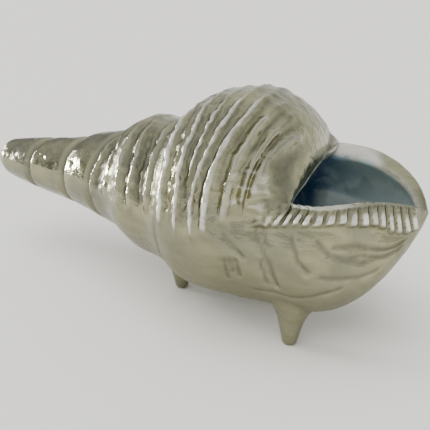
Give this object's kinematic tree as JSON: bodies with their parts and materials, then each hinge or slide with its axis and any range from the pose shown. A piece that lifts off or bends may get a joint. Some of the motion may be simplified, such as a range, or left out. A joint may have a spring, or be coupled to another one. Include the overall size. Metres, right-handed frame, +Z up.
{
  "type": "cast metal conch shell ornament",
  "caption": "Cast metal conch shell lying mouth up on peg feet, with a ridged spiral body, a smooth pointed spire and a toothed front lip round an open hollow.",
  "frame": {"origin": "on the resting surface, under the middle of the shell's bounding box", "axes": "+X along the shell's axis from the spire's tip to the mouth, +Y to the back lip, +Z up out of the mouth"},
  "size_m": [0.1078, 0.044, 0.0482],
  "materials": {
    "cast_metal": "polished warm grey cast white metal with worn casting texture, darkened inside the mouth"
  },
  "bodies": {
    "root": {"shell": "cast_metal"}
  },
  "joints": []
}
